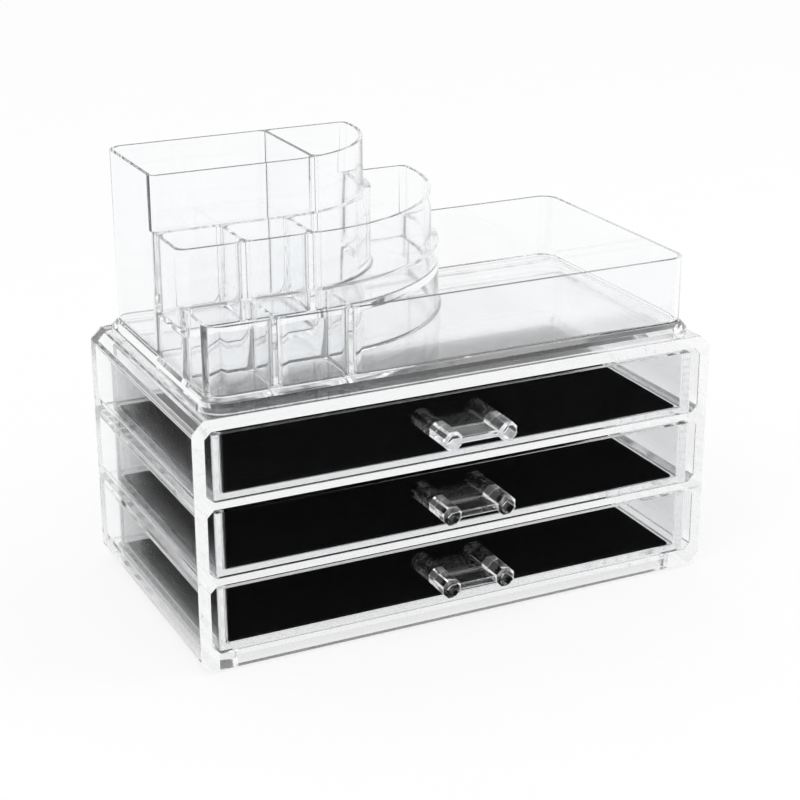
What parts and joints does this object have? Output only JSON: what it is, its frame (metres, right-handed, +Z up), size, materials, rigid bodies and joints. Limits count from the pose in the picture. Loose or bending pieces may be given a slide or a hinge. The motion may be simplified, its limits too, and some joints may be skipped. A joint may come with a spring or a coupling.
{
  "type": "makeup organizer with drawers",
  "caption": "Clear countertop cosmetics organizer: a case of shallow pull-out drawers with black pads under a loose stepped tray of cells and an open part.",
  "frame": {"origin": "on the surface that the feet stand on, in the middle of the whole outline, handles included", "axes": "+X to the right along the case's width, +Y to the rear, away from the drawers' fronts, +Z up"},
  "size_m": [0.238, 0.1418, 0.19],
  "materials": {
    "case_clear": "clear, polished",
    "drawer_clear": "clear, polished",
    "handle_clear": "clear, faceted, polished",
    "tray_clear": "clear, polished",
    "liner_black": "soft black pad",
    "foot_rubber": "translucent, matt"
  },
  "bodies": {
    "case": {"case_shell": "case_clear", "foot_front_left": "foot_rubber", "foot_front_right": "foot_rubber", "foot_rear_left": "foot_rubber", "foot_rear_right": "foot_rubber"},
    "bottom_drawer": {"drawer_bottom": "drawer_clear", "drawer_handle_bottom": "handle_clear", "drawer_liner_bottom": "liner_black"},
    "middle_drawer": {"drawer_middle": "drawer_clear", "drawer_handle_middle": "handle_clear", "drawer_liner_middle": "liner_black"},
    "top_drawer": {"drawer_top": "drawer_clear", "drawer_handle_top": "handle_clear", "drawer_liner_top": "liner_black"},
    "tray": {"top_tray": "tray_clear"}
  },
  "joints": [
    {"name": "bottom_drawer_slide", "type": "slide", "parent": "case", "child": "bottom_drawer", "axis": [0, -1, 0], "range_m": [0, 0.1]},
    {"name": "middle_drawer_slide", "type": "slide", "parent": "case", "child": "middle_drawer", "axis": [0, -1, 0], "range_m": [0, 0.1]},
    {"name": "top_drawer_slide", "type": "slide", "parent": "case", "child": "top_drawer", "axis": [0, -1, 0], "range_m": [0, 0.1]},
    {"name": "tray_lift", "type": "slide", "parent": "case", "child": "tray", "axis": [0, 0, 1], "range_m": [0, 0.1]}
  ]
}
